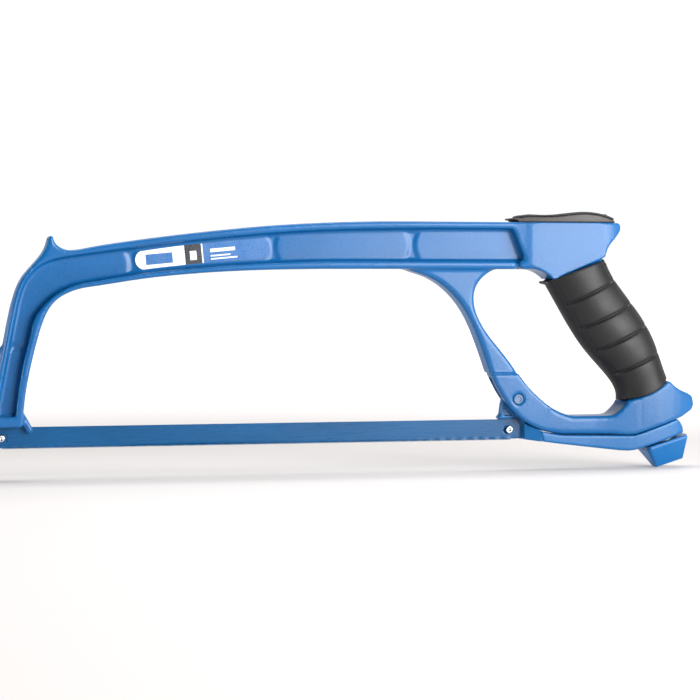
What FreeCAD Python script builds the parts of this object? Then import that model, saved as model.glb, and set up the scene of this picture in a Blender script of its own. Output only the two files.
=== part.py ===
import FreeCAD, Part
import math
import os
from FreeCAD import Vector

# Hacksaw with a cast frame, a closed D handle and a screw-tensioned blade lever.
# Millimetres. X runs along the blade towards the handle, Z is up, Y is across.
# While it is drawn, X = 0 and Z = 0 are at the front blade pin and Y = 0 is the blade's plane.
# The finished pieces are then moved so that the origin is under the middle of the whole saw.

# Blade: the 300 mm standard blade sets the size of everything else
PIN_SPACING = 300.0
BLADE_HEIGHT = 12.5
BLADE_THICKNESS = 0.65
BLADE_OVERHANG = 6.3
TEETH_PER_INCH = 24
TOOTH_DEPTH = 0.75
HOLE_LENGTH = 5.8
HOLE_HEIGHT = 5.0
HOLE_CORNER = 1.4
HOLE_SLACK = 0.02
PIN_RADIUS = 2.1
PIN_REACH = 2.0
SEAT_GAP = 0.05

# Frame: half widths across Y, and the webs and rims between them
BOW_HALF = 10.0
WEB_HALF = 3.8
GROOVE_DEPTH = 0.8
PANEL_GAP = 2.8
PANEL_END_RADIUS = 14.0
PANEL_GAPS = (
    ((9.3, 51.1), math.radians(80.0), 3.1),
    ((73.8, 100.0), math.radians(8.0), 5.8),
    ((155.6, 107.9), math.radians(4.0), 6.7),
    ((239.1, 110.0), 0.0, 7.7),
)
RIM_ROUNDING = 1.5
STRUT_ROUNDING = 2.4
STRUT_HALF = 7.5
HOUSING_HALF = 9.5
BLOCK_HALF = 13.0
CORE_HALF = 8.0
SLOT_HALF = 3.6
LABEL_THICKNESS = 0.2

# Tension lever: its pivot, its thicknesses, and the gap that it keeps under the housing
PIVOT = (303.2, 18.6)
TONGUE_HALF = 3.0
LEVER_HALF = 9.5
LEVER_GAP = 0.4
BUSH_RADIUS = 4.5
PIVOT_RADIUS = 3.0
PIVOT_SHANK = 3.0
PIVOT_TAIL = 2.0
PIVOT_SPLIT = 1.0

# Tension screw: it leans back by SCREW_LEAN, and its seat is the lever's underside
SCREW_LEAN = math.radians(16.7)
SEAT = (397.6, -6.8)
SCREW_RADIUS = 4.0
SCREW_PITCH = 1.25
NUT_DISTANCE = 51.8
NUT_RADIUS = 5.5
NUT_HALF = 7.8
RELEASE_TURNS = 7
RUNNING_GAP = 0.06

# Grip: front and rear edge of each cross-section, from the top to the bottom
GRIP_HALF = 16.0
GRIP_STATIONS = [
    (323.0, 87.0, 360.5, 100.5),
    (332.8, 70.4, 367.7, 87.6),
    (340.8, 57.4, 377.8, 74.7),
    (350.3, 44.9, 387.5, 60.7),
    (361.8, 32.4, 394.3, 45.7),
    (368.6, 16.4, 402.6, 25.4),
]

GRIP_HALVES = (15.0, 15.6, GRIP_HALF, GRIP_HALF, 15.4, 14.6)
GRIP_FOOT = ((371.2, 16.6), (382.5, 19.8), (391.8, 24.1))
CREST = (398.2, 29.0)

# Thumb rest on the rear of the beam
THUMB_SCREWS = (312.0, 348.0)
THUMB_SCREW_RADIUS = 1.9
THUMB_HEAD_RADIUS = 3.2
THUMB_HEAD_SEAT = 125.4
THUMB_RIDGES = (349.0, 353.5, 358.0)
PAD_THICKNESS = 1.4

# Knob: a tapered bar under the lever
KNOB_TOP = (27.2, 20.0)
KNOB_FOOT = (18.2, 6.4)
KNOB_HEIGHT = 13.8
KNOB_GAP = 1.9
COLLAR_START = 1.3
COLLAR_FLANGE = 6.4
COLLAR_SPIGOT = 7.6
HEAD_START = 3.7
HEAD_FLATS = 12.0
HEAD_HEIGHT = 4.6
THRUST_END = 0.85
SCREW_TIP = -63.0

DEEP = 60.0


# ---- drawing helpers ----

def at(x, z, y=0.0):
    return Vector(x, y, z)


class Outline:
    """A closed outline in the XZ plane, drawn run by run."""

    def __init__(self, start):
        self.start = start
        self.here = start
        self.edges = []

    def line(self, *points):
        for point in points:
            self.edges.append(Part.makeLine(at(*self.here), at(*point)))
            self.here = point
        return self

    def curve(self, *points, **ends):
        spline = Part.BSplineCurve()
        path = [at(*self.here)] + [at(*p) for p in points]
        if ends:
            spline.interpolate(Points=path, InitialTangent=at(*ends["leave"]),
                               FinalTangent=at(*ends["arrive"]))
        else:
            spline.interpolate(path)
        self.edges.append(spline.toShape())
        self.here = points[-1]
        return self

    def arc(self, middle, end):
        self.edges.append(Part.Arc(at(*self.here), at(*middle), at(*end)).toShape())
        self.here = end
        return self

    def round_to(self, corner, radius, beyond):
        """Straight to the corner, which is rounded towards the point beyond it."""
        place = at(*corner)
        back = (at(*self.here) - place).normalize()
        on = (at(*beyond) - place).normalize()
        half = back.getAngle(on) / 2
        reach = radius / math.tan(half)
        start, end = place + back * reach, place + on * reach
        towards = (back + on).normalize()
        middle = place + towards * (radius / math.sin(half) - radius)
        return self.line((start.x, start.z)).arc((middle.x, middle.z), (end.x, end.z))

    def face(self):
        if self.here != self.start:
            self.line(self.start)
        return Part.Face(Part.Wire(self.edges))


def slab(outline, y_low, y_high):
    """The outline's face, thickened from y_low to y_high."""
    face = outline.face()
    face.translate(Vector(0, y_low, 0))
    return face.extrude(Vector(0, y_high - y_low, 0))


def plan_slab(straight, curved):
    """A tall solid whose half width across Y follows (x, half width) points.

    It is straight through the first list and then one smooth curve through the second.
    """
    edges = []
    for side in (1, -1):
        corners = [Vector(x, side * half, -DEEP) for x, half in straight]
        edges.append(Part.makePolygon(corners).Edges[0])
        bend = [corners[-1]] + [Vector(x, side * half, -DEEP) for x, half in curved]
        spline = Part.BSplineCurve()
        spline.interpolate(bend)
        edges.append(spline.toShape())
    for x, half in (straight[0], curved[-1]):
        edges.append(Part.makeLine(Vector(x, half, -DEEP), Vector(x, -half, -DEEP)))
    wire = Part.Wire(Part.__sortEdges__(edges))
    return Part.Face(wire).extrude(Vector(0, 0, 4 * DEEP))


def cross_cylinder(centre, radius, y_low, y_high):
    return Part.makeCylinder(radius, y_high - y_low, at(*centre, y_low), Vector(0, 1, 0))


def rounded(shape, radius, wanted):
    """The shape with the wanted edges filleted."""
    edges = [edge for edge in shape.Edges if wanted(edge)]
    return shape.makeFillet(radius, edges)


def flat_at(edge, y, tolerance=1e-3):
    """True for an edge that lies wholly in the plane at this y."""
    box = edge.BoundBox
    return abs(box.YMin - y) < tolerance and abs(box.YMax - y) < tolerance


def screw_axis():
    """Unit vector down the tension screw, away from the nut."""
    return Vector(math.sin(SCREW_LEAN), 0, -math.cos(SCREW_LEAN))


def on_screw(distance):
    """Point on the tension screw's axis, this far below the lever's underside."""
    return at(*SEAT) + screw_axis() * distance


def screw_cylinder(radius, start, end):
    return Part.makeCylinder(radius, end - start, on_screw(start), screw_axis())


def swung(shape, angle, centre):
    """The shape turned about +Y through the centre, positive lowering the rear end."""
    turned = shape.copy()
    turned.rotate(centre, Vector(0, 1, 0), math.degrees(angle))
    return turned


def lever_arm():
    """Travel of the lever's seat along the screw, in mm per radian."""
    nut = on_screw(-NUT_DISTANCE)
    reach = nut - at(*PIVOT)
    return -screw_axis().z * reach.x + screw_axis().x * reach.z


def release_angle():
    return RELEASE_TURNS * SCREW_PITCH / lever_arm()


# ---- frame ----

def bow_outline():
    bow = Outline((-7.6, 6.5))
    bow.curve((-4.7, 22.0), (-1.5, 38.0), (1.3, 52.1), (4.8, 69.5), (8.4, 83.0), (12.2, 91.0),
              (16.8, 96.6), (21.9, 102.4), (25.2, 107.6), (26.6, 114.2))
    bow.line((29.0, 114.2))
    bow.curve((30.6, 109.6), (34.5, 106.9), (39.5, 106.2))
    bow.curve((49.1, 107.7), (74.3, 111.8), (99.7, 115.2), (125.4, 118.1), (151.5, 120.6),
              (193.9, 123.0), (240.0, 123.8), leave=(1, 0.05), arrive=(1, 0))
    bow.line((300.0, 123.8), (300.0, 95.9), (215.0, 95.9))
    bow.curve((151.4, 95.2), (125.4, 94.1), (99.7, 92.2), (74.2, 89.2), (55.2, 86.2),
              (42.7, 84.0), (36.0, 81.4), (31.4, 78.5), (27.8, 74.8), (24.2, 68.4), (21.1, 59.4),
              (18.4, 49.5), (16.0, 39.3), (12.9, 22.1), (11.6, 6.5),
              leave=(-1, 0), arrive=(-0.05, -1))
    return bow


def pocket_outline():
    pocket = Outline((-2.6, 12.4))
    pocket.curve((-0.8, 25.0), (2.2, 40.0), (5.0, 55.0), (8.0, 70.0), (11.2, 83.0), (15.0, 90.6),
                 (19.3, 95.4), (24.6, 98.9), (32.0, 101.3), (49.1, 104.1), (74.2, 107.6),
                 (99.7, 110.9), (125.4, 113.7), (151.5, 116.1), (187.3, 118.3), (227.3, 119.4),
                 (260.0, 119.8))
    pocket.round_to((299.6, 119.9), 3.0, (307.5, 100.5))
    pocket.round_to((307.5, 100.5), 2.4, (215.0, 100.5))
    pocket.line((215.0, 100.5))
    pocket.curve((187.3, 100.4), (151.4, 99.2), (125.4, 97.6), (99.7, 95.3), (74.2, 92.4),
                 (55.0, 89.3), (43.8, 87.2), (37.0, 84.9), (31.2, 81.7), (26.6, 78.0),
                 (22.2, 73.2), (19.2, 69.2), (16.1, 58.6), (12.7, 45.8), (9.1, 25.1), (7.8, 12.4),
                 leave=(-1, 0), arrive=(-0.05, -1))
    return pocket


def hourglass(centre, lean, reach):
    """Outline of a gap between two panels whose ends bulge towards each other."""
    bulge = PANEL_END_RADIUS - math.sqrt(PANEL_END_RADIUS ** 2 - reach ** 2)
    half = PANEL_GAP / 2
    corners = []
    for along, across in ((-half - bulge, reach), (-half, 0.0), (-half - bulge, -reach),
                          (half + bulge, -reach), (half, 0.0), (half + bulge, reach)):
        corners.append((centre[0] + along * math.cos(lean) - across * math.sin(lean),
                        centre[1] + along * math.sin(lean) + across * math.cos(lean)))
    gap = Outline(corners[0])
    gap.arc(corners[1], corners[2])
    gap.line(corners[3])
    gap.arc(corners[4], corners[5])
    return gap


def panel_gaps(side):
    """Shallow grooves that divide the web into panels, on the side where Y has this sign."""
    low, high = sorted((side * (WEB_HALF - GROOVE_DEPTH), side * (WEB_HALF + 0.5)))
    return [slab(hourglass(*gap), low, high) for gap in PANEL_GAPS]


def make_bow():
    bow = slab(bow_outline(), -BOW_HALF, BOW_HALF)
    for side in (-BOW_HALF, BOW_HALF):
        bow = rounded(bow, RIM_ROUNDING, lambda e: flat_at(e, side) and e.BoundBox.XMin > 28.0
                      and e.BoundBox.ZMin > 105.0)
        bow = rounded(bow, RIM_ROUNDING, lambda e: flat_at(e, side) and e.BoundBox.XMin > 11.0
                      and 200.0 < e.BoundBox.XMax < 290.0)
    return bow


def web_pocket(side):
    """The hollow between the rims, on the side where Y has this sign."""
    face = pocket_outline().face()
    face.translate(Vector(0, side * WEB_HALF, 0))
    pocket = face.extrude(Vector(0, side * 20.0, 0))
    return rounded(pocket, RIM_ROUNDING, lambda e: flat_at(e, side * WEB_HALF))


def make_block():
    """Rear end of the beam, above the grip."""
    block = Outline((296.0, 123.8))
    block.line((366.8, 123.8), (368.2, 122.4), (368.3, 119.4))
    block.curve((364.6, 114.6), (360.8, 110.6), (358.6, 107.0), (357.6, 103.2),
                leave=(-0.5, -1), arrive=(-0.15, -1))
    block.line((324.4, 89.6))
    block.curve((322.0, 92.0), (316.5, 94.9), (309.0, 95.9), leave=(-0.6, 1), arrive=(-1, 0))
    block.line((296.0, 95.9))
    plan = plan_slab([(290.0, BOW_HALF), (302.0, BOW_HALF)],
                     [(312.0, 11.0), (324.0, 12.6), (335.0, BLOCK_HALF), (348.0, 12.4),
                      (359.0, 10.4), (369.5, 6.5)])
    return slab(block, -DEEP / 2, DEEP / 2).common(plan)


def make_strut():
    """Guard in front of the fingers."""
    strut = Outline((229.0, 97.5))
    strut.curve((236.5, 95.2), (247.5, 91.6), (258.5, 85.2), (266.7, 77.2), (272.4, 69.0),
                (278.0, 57.2), (283.6, 42.4), (288.6, 28.6), leave=(1, -0.1), arrive=(0.4, -1))
    strut.line((306.5, 28.6))
    strut.curve((303.3, 34.0), (288.3, 53.4), (279.4, 66.7), (276.6, 75.9), (277.3, 83.9),
                (281.4, 90.5), (287.4, 94.8), (295.0, 96.2), leave=(-0.7, 1), arrive=(1, 0.05))
    strut.line((295.0, 97.5))
    solid = slab(strut, -STRUT_HALF, STRUT_HALF)
    for side in (-STRUT_HALF, STRUT_HALF):
        solid = rounded(solid, STRUT_ROUNDING, lambda e: flat_at(e, side)
                        and e.BoundBox.ZLength > 20.0)
    return solid


def base_outline():
    base = Outline((286.5, 34.0))
    base.curve((288.2, 29.6), (292.2, 22.3), (296.3, 16.1), (300.9, 10.7), (305.8, 6.5),
               (311.3, 3.1), (317.5, 0.2), (324.5, -1.8), (333.0, -2.9),
               leave=(0.35, -1), arrive=(1, -0.05))
    base.line((374.5, -3.7))
    base.curve((378.0, -3.1), (382.0, -1.9), leave=(1, 0.0), arrive=(1, 0.32))
    base.line((407.6, 6.5), (415.2, 10.6), (416.8, 14.0), (415.4, 19.0), (411.8, 21.0))
    base.curve((405.6, 23.4), (400.9, 26.6), CREST, leave=(-1, 0.3), arrive=(-1, 0.9))
    base.curve(*reversed(GRIP_FOOT))
    base.curve((369.2, 12.9), (364.8, 9.3), (357.0, 8.0), leave=(0, -1), arrive=(-1, 0))
    base.line((340.0, 8.0))
    base.curve((331.0, 10.0), (321.8, 15.0), (312.6, 22.9), (303.4, 34.0),
               leave=(-1, 0.02), arrive=(-0.7, 1))
    return base


def make_base():
    """Housing of the lever's pivot, floor of the handle and its rear lobe."""
    plan = plan_slab([(270.0, HOUSING_HALF), (345.0, HOUSING_HALF)],
                     [(358.0, 9.9), (370.0, 11.2), (384.0, 12.3), (396.0, 12.0), (406.0, 9.6),
                      (418.5, 4.6)])
    return slab(base_outline(), -DEEP / 2, DEEP / 2).common(plan)


def core_outline():
    """Bar inside the grip: the grip's stations, drawn in at the front and at the rear."""
    front, rear = [], []
    for x_front, z_front, x_rear, z_rear in GRIP_STATIONS:
        along = Vector(x_rear - x_front, 0, z_rear - z_front).normalize()
        front.append((x_front + along.x * 6.5, z_front + along.z * 6.5))
        rear.append((x_rear - along.x * 3.6, z_rear - along.z * 3.6))
    top_front = (front[0][0] - 3.0, front[0][1] + 6.0)
    top_rear = (rear[0][0] - 3.0, rear[0][1] + 6.0)
    core = Outline(top_front)
    core.curve(*front)
    core.line((front[-1][0] + 1.0, front[-1][1] - 5.0), (rear[-1][0] - 1.0, rear[-1][1] - 5.0),
              rear[-1])
    core.curve(*reversed(rear[:-1]), top_rear)
    return core


def screw_passage():
    """Room for the tension screw as it swings with the lever."""
    half = SCREW_RADIUS + 0.6
    rest = Part.makeBox(2 * half, 2 * half, 90.0, Vector(-half, -half, -75.0))
    rest.rotate(Vector(0, 0, 0), Vector(0, 1, 0), -math.degrees(SCREW_LEAN))
    nut = on_screw(-NUT_DISTANCE)
    rest.translate(nut)
    swings = [swung(rest, release_angle() * step / 4.0, nut) for step in range(5)]
    return swings[0].fuse(swings[1:])


def lever_slot():
    """Slot between the housing's cheeks, for the lever's tongue."""
    slot = Outline((270.0, -20.0))
    slot.line((319.0, -20.0), (319.0, 6.0))
    slot.curve((315.5, 16.0), (310.0, 28.0), (299.0, 31.5))
    slot.line((270.0, 31.5))
    return slab(slot, -SLOT_HALF, SLOT_HALF)


def nose_lug():
    """Blade seat of the post: a cheek behind the blade and a finger in front of it."""
    behind = BLADE_THICKNESS / 2 + SEAT_GAP
    cheek = Outline((-7.6, 8.0))
    cheek.line((-8.4, 0.0))
    cheek.arc((-5.6, -4.2), (-1.0, -5.4))
    cheek.line((7.0, -5.4), (12.3, -1.0), (11.9, 8.0))
    far_cheek = slab(cheek, behind, 7.0)
    finger = Outline((8.6, 17.0))
    finger.line((12.0, 15.6), (17.3, 6.0))
    finger.arc((17.0, 3.2), (14.0, 3.9))
    finger.line((11.3, 8.8), (8.6, 10.5))
    near_finger = slab(finger, -4.6, -behind)
    far_finger = slab(finger, behind, 4.6)
    return [far_cheek, near_finger, far_finger]


def toe_fin():
    """Thin fin in front of the post's foot."""
    fin = Outline((1.6, 54.0))
    fin.curve((-4.5, 44.0), (-9.0, 30.0), (-9.0, 14.0))
    fin.line((-9.0, 6.5), (2.0, 6.5), (4.0, 50.0))
    return slab(fin, -2.0, 2.0)


def make_frame():
    frame = make_bow().fuse(make_block())
    for side in (-1, 1):
        frame = frame.cut(web_pocket(side)).cut(panel_gaps(side))
    frame = frame.fuse([make_strut(), make_base(), toe_fin()] + nose_lug()
                       + [slab(core_outline(), -CORE_HALF, CORE_HALF)])
    frame = frame.cut(lever_slot())
    frame = frame.cut(screw_passage())
    nut = on_screw(-NUT_DISTANCE)
    frame = frame.cut(cross_cylinder((nut.x, nut.z), NUT_RADIUS + RUNNING_GAP, -DEEP, DEEP))
    frame = frame.cut(cross_cylinder((0.0, 0.0), PIN_RADIUS, 0.0, DEEP))
    frame = frame.cut(cross_cylinder(PIVOT, PIVOT_RADIUS, -DEEP, DEEP))
    for x in THUMB_SCREWS:
        frame = frame.cut(Part.makeCylinder(THUMB_SCREW_RADIUS, 12.0, at(x, 112.0)))
    return frame.removeSplitter()


# ---- grip, thumb rest and labels ----

def ellipse_at(station, half):
    """Cross-section of the grip between a station's front and rear points."""
    x_front, z_front, x_rear, z_rear = station
    along = Vector(x_rear - x_front, 0, z_rear - z_front)
    centre = at((x_front + x_rear) / 2, (z_front + z_rear) / 2)
    tip = centre + along * 0.5
    side = centre + Vector(0, half, 0)
    return Part.Wire(Part.Ellipse(tip, side, centre).toShape())


def below_grip():
    """Everything under the sleeve's foot, which follows the top of the base."""
    below = Outline((340.0, 20.4))
    below.line((361.2, 18.2), GRIP_FOOT[0])
    below.curve(*GRIP_FOOT[1:], CREST)
    below.line((420.0, 50.0), (420.0, -DEEP), (340.0, -DEEP))
    return slab(below, -DEEP, DEEP)


def make_grip():
    """Rubber sleeve moulded over the bar of the handle."""
    wires = [ellipse_at(s, half) for s, half in zip(GRIP_STATIONS, GRIP_HALVES)]
    sleeve = Part.makeLoft(wires, True, False)
    sleeve = sleeve.cut(slab(core_outline(), -CORE_HALF, CORE_HALF))
    sleeve = sleeve.cut(below_grip()).cut(make_base())
    return sleeve.cut(make_block())


def thumb_outline(drop, x_front, x_rear):
    """Side view of the thumb rest, with its top lowered by the drop."""
    rest = Outline((x_front, 123.8))
    rest.line((x_front, 126.2 - drop))
    rest.curve((306.0, 127.9 - drop), (314.0, 128.3 - drop), (328.5, 128.8 - drop),
               (342.8, 130.2 - drop), (354.0, 129.3 - drop), (362.0, 127.3 - drop),
               (x_rear, 125.4 - drop * 0.5))
    rest.line((x_rear - 1.0, 123.8))
    return rest


def thumb_plan(inset):
    return plan_slab([(280.0, 9.0 - inset), (300.0, 9.0 - inset)],
                     [(315.0, 10.6 - inset), (335.0, 11.6 - inset), (350.0, 10.8 - inset),
                      (359.0, 9.0 - inset), (368.0, 5.0 - inset)])


def make_thumb_rest_base():
    """Hard carrier, with the lip that reaches forward over the beam."""
    body = slab(thumb_outline(PAD_THICKNESS, 302.4, 365.4), -20.0, 20.0)
    lip = slab(Outline((304.5, 125.0)).line((296.2, 125.2), (296.2, 126.2), (304.5, 126.4)),
               -20.0, 20.0)
    base = body.fuse(lip).common(thumb_plan(0.0)).removeSplitter()
    for x in THUMB_SCREWS:
        base = base.cut(Part.makeCylinder(THUMB_SCREW_RADIUS, DEEP, at(x, 100.0)))
        base = base.cut(Part.makeCylinder(THUMB_HEAD_RADIUS, DEEP, at(x, THUMB_HEAD_SEAT)))
    return base


def make_thumb_rest_pad(base, screws):
    """Rubber skin over the carrier."""
    pad = slab(thumb_outline(0.0, 303.0, 366.2), -20.0, 20.0).common(thumb_plan(0.5))
    for x in THUMB_RIDGES:
        ridge = Part.makeCylinder(0.9, 16.0, at(x, 129.6 - (x - 347.0) * 0.13, -8.0),
                                  Vector(0, 1, 0))
        pad = pad.fuse(ridge)
    above = slab(thumb_outline(PAD_THICKNESS, 280.0, 380.0), -20.0, 20.0)
    return pad.cut(above).cut(base).cut(screws).removeSplitter()


def make_thumb_rest_screws():
    screws = []
    for x in THUMB_SCREWS:
        shank = Part.makeCylinder(THUMB_SCREW_RADIUS, THUMB_HEAD_SEAT - 113.0, at(x, 113.0))
        head = Part.makeCylinder(THUMB_HEAD_RADIUS, 1.2, at(x, THUMB_HEAD_SEAT))
        screws.append(shank.fuse(head).removeSplitter())
    return Part.makeCompound(screws)


def make_label(side):
    """Thin plate on the beam's second panel; side is the sign of Y."""
    label = Outline((80.5, 95.3))
    label.arc((75.8, 100.2), (78.6, 105.6))
    label.curve((99.7, 108.6), (125.4, 111.4), (150.6, 113.6))
    label.arc((153.9, 107.7), (151.6, 101.5))
    label.curve((125.4, 99.9), (99.7, 97.6), (80.5, 95.3))
    low, high = sorted((side * WEB_HALF, side * (WEB_HALF + LABEL_THICKNESS)))
    return slab(label, low, high)


# ---- blade and its pins ----

def tooth_row(x_low, x_high, z_tip):
    """Points of the saw teeth from x_high back to x_low, raked towards the front."""
    pitch = 25.4 / TEETH_PER_INCH
    count = int((x_high - x_low) / pitch)
    points = []
    for i in range(count):
        x = x_high - i * pitch
        points.append((x, z_tip + TOOTH_DEPTH))
        points.append((x - pitch * 0.95, z_tip))
    points.append((x_high - count * pitch, z_tip + TOOTH_DEPTH))
    return points


def make_blade():
    top = BLADE_HEIGHT / 2
    foot = -BLADE_HEIGHT / 2
    front = -BLADE_OVERHANG
    rear = PIN_SPACING + BLADE_OVERHANG
    corner = 2.5
    blade = Outline((front, foot + TOOTH_DEPTH + corner))
    blade.line((front, top - corner))
    blade.arc((front + corner * 0.29, top - corner * 0.29), (front + corner, top))
    blade.line((rear - corner, top))
    blade.arc((rear - corner * 0.29, top - corner * 0.29), (rear, top - corner))
    blade.line((rear, foot + TOOTH_DEPTH + corner))
    blade.arc((rear - corner * 0.29, foot + TOOTH_DEPTH + corner * 0.29),
              (rear - corner, foot + TOOTH_DEPTH))
    blade.line(*tooth_row(front + 6.0, rear - 5.0, foot))
    blade.line((front + corner, foot + TOOTH_DEPTH))
    blade.arc((front + corner * 0.29, foot + TOOTH_DEPTH + corner * 0.29),
              (front, foot + TOOTH_DEPTH + corner))
    solid = slab(blade, -BLADE_THICKNESS / 2, BLADE_THICKNESS / 2)
    for x_outer, toward in ((-PIN_RADIUS, 1), (PIN_SPACING + PIN_RADIUS, -1)):
        solid = solid.cut(blade_hole(x_outer, toward))
    return solid


def blade_hole(x_outer, toward):
    """Slotted hole whose outer end bears on its pin; toward is the side of the spare length."""
    half = HOLE_HEIGHT / 2
    bearing = cross_cylinder((x_outer + toward * PIN_RADIUS, 0.0), PIN_RADIUS + HOLE_SLACK, -1.0, 1.0)
    x_start = x_outer + toward * (PIN_RADIUS - 0.9)
    x_end = x_outer + toward * HOLE_LENGTH
    low, high = sorted((x_start, x_end))
    spare = Part.makeBox(high - low, 2.0, 2 * half, at(low, -half, -1.0))
    tall = [edge for edge in spare.Edges if abs(edge.BoundBox.YLength - 2.0) < 1e-6]
    return bearing.fuse(spare.makeFillet(HOLE_CORNER, tall))


def make_pin(x, y_far):
    """Blade pin: a plain dowel with a centre mark in its near end."""
    pin = cross_cylinder((x, 0.0), PIN_RADIUS, -PIN_REACH, y_far)
    mark = Part.makeCone(PIN_RADIUS * 0.5, 0.0, 0.9, at(x, 0, -PIN_REACH), Vector(0, 1, 0))
    return pin.cut(mark)


# ---- tension lever and its pivot ----

def under_housing():
    """Top edge of the lever's wide part: the base's underside, lowered by the gap."""
    drop = LEVER_GAP
    return [(317.0, 0.0 - drop), (324.5, -1.8 - drop), (333.0, -2.9 - drop)]


def lever_underside(x):
    return SEAT[1] + (x - SEAT[0]) * math.tan(SCREW_LEAN)


def lever_body_outline():
    """Full-width rear part of the lever."""
    drop = LEVER_GAP
    top = under_housing()
    body = Outline(top[0])
    body.curve(*top[1:], leave=(1, -0.4), arrive=(1, -0.05))
    body.line((374.5, -3.7 - drop))
    body.curve((378.0, -3.1 - drop), (382.0, -1.9 - drop), leave=(1, 0.0), arrive=(1, 0.32))
    body.line((404.8, 5.7 - drop))
    body.curve((407.6, 2.3), (409.0, -0.8), (409.0, lever_underside(409.0)))
    body.line((379.0, lever_underside(379.0)))
    body.curve((374.6, -13.2), (369.5, -13.2), (366.0, -12.9),
               leave=(-1, -math.tan(SCREW_LEAN)), arrive=(-1, 0.12))
    body.line((353.9, -11.5), (328.0, -8.3), (319.0, -7.0))
    return body


def lever_tongue_outline():
    """Thin front part: the eye of the pivot, the nose over the blade and the arm to the body."""
    x, z = PIVOT
    eye = 7.6
    tongue = Outline((294.8, 15.1))
    tongue.line((294.0, 9.2), (292.4, 7.7), (292.4, 6.5), (294.0, 6.5), (294.0, -3.0))
    tongue.arc((294.7, -4.5), (296.3, -5.1))
    tongue.line((304.7, -5.4), (322.0, -7.5), (322.0, -1.8), (316.2, 0.0 - LEVER_GAP))
    tongue.curve((312.5, 4.0), (x + eye, z - 1.0), leave=(-0.4, 1), arrive=(-0.05, 1))
    tongue.arc((x, z + eye), (x - eye + 0.2, z + 1.0))
    return tongue


def make_lever():
    body_plan = plan_slab([(300.0, LEVER_HALF), (345.0, LEVER_HALF)],
                          [(358.0, 9.9), (372.0, 10.9), (386.0, 11.4), (398.0, 10.4),
                           (410.0, 7.0)])
    body = slab(lever_body_outline(), -DEEP / 2, DEEP / 2).common(body_plan)
    tongue = slab(lever_tongue_outline(), -TONGUE_HALF, TONGUE_HALF)
    lever = body.fuse(tongue)
    behind = BLADE_THICKNESS / 2 + SEAT_GAP
    seat = Outline((280.0, 6.4))
    seat.line((280.0, -20.0), (308.2, -20.0), (308.2, 7.8), (302.6, 7.6), (300.8, 6.4))
    lever = lever.cut(slab(seat, -DEEP, behind))
    lever = lever.cut(cross_cylinder((PIN_SPACING, 0.0), PIN_RADIUS, 0.0, DEEP))
    lever = lever.cut(cross_cylinder(PIVOT, BUSH_RADIUS, -DEEP, DEEP))
    return lever.cut(screw_cylinder(SCREW_RADIUS + 1.2, -30.0, 10.0)).removeSplitter()


def ring(centre, outer, inner, y_low, y_high):
    return cross_cylinder(centre, outer, y_low, y_high).cut(
        cross_cylinder(centre, inner, y_low - 1.0, y_high + 1.0))


def make_pivot_screw():
    """Screw from the near side: a flush head, a plain shank and a reduced end."""
    head = cross_cylinder(PIVOT, PIVOT_RADIUS, -HOUSING_HALF - 0.2, -HOUSING_HALF + 3.0)
    shank = cross_cylinder(PIVOT, PIVOT_SHANK, -HOUSING_HALF + 3.0, PIVOT_SPLIT)
    tail = cross_cylinder(PIVOT, PIVOT_TAIL, PIVOT_SPLIT, HOUSING_HALF - 2.5)
    socket = Part.makePolygon([at(PIVOT[0] + 1.5 * math.cos(a), PIVOT[1] + 1.5 * math.sin(a),
                                  -HOUSING_HALF - 0.2)
                               for a in [i * math.pi / 3 for i in range(7)]])
    recess = Part.Face(socket).extrude(Vector(0, 2.0, 0))
    return head.fuse([shank, tail]).removeSplitter().cut(recess)


def make_pivot_sleeve():
    """Sleeve nut from the far side; the screw's end sits in it."""
    sleeve = cross_cylinder(PIVOT, PIVOT_RADIUS, PIVOT_SPLIT, HOUSING_HALF + 0.2)
    sleeve = sleeve.cut(cross_cylinder(PIVOT, PIVOT_TAIL, PIVOT_SPLIT - 1.0, HOUSING_HALF - 2.5))
    slot = Part.makeBox(8.0, 1.0, 0.9, at(PIVOT[0] - 4.0, PIVOT[1] - 0.45, HOUSING_HALF - 0.6))
    return sleeve.cut(slot)


# ---- tension screw ----

def make_barrel_nut():
    nut = on_screw(-NUT_DISTANCE)
    barrel = cross_cylinder((nut.x, nut.z), NUT_RADIUS, -NUT_HALF, NUT_HALF)
    return barrel.cut(screw_cylinder(SCREW_RADIUS + RUNNING_GAP, -NUT_DISTANCE - 10.0,
                                     -NUT_DISTANCE + 10.0))


def on_knob(along, across, distance):
    """Point in the knob's own frame: along the lever, across Y, and down the screw."""
    axis = screw_axis()
    return on_screw(distance) + Vector(-axis.z, 0, axis.x) * along + Vector(0, across, 0)


def knob_section(size, distance):
    """Rectangle with cut corners, across the screw's axis."""
    half_long, half_wide = size[0] / 2, size[1] / 2
    cut = min(size) * 0.08
    corners = []
    for side_long, side_wide in ((1, 1), (-1, 1), (-1, -1), (1, -1)):
        first = (half_long, half_wide - cut)
        second = (half_long - cut, half_wide)
        pair = (first, second) if side_long * side_wide > 0 else (second, first)
        for x, y in pair:
            corners.append(on_knob(side_long * x, side_wide * y, distance))
    return Part.makePolygon(corners + [corners[0]])


def hexagon(across_flats, distance):
    reach = across_flats / math.sqrt(3)
    turns = [math.pi / 3 * i for i in range(6)]
    corners = [on_knob(reach * math.cos(a), reach * math.sin(a), distance) for a in turns]
    return Part.Face(Part.makePolygon(corners + [corners[0]]))


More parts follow.
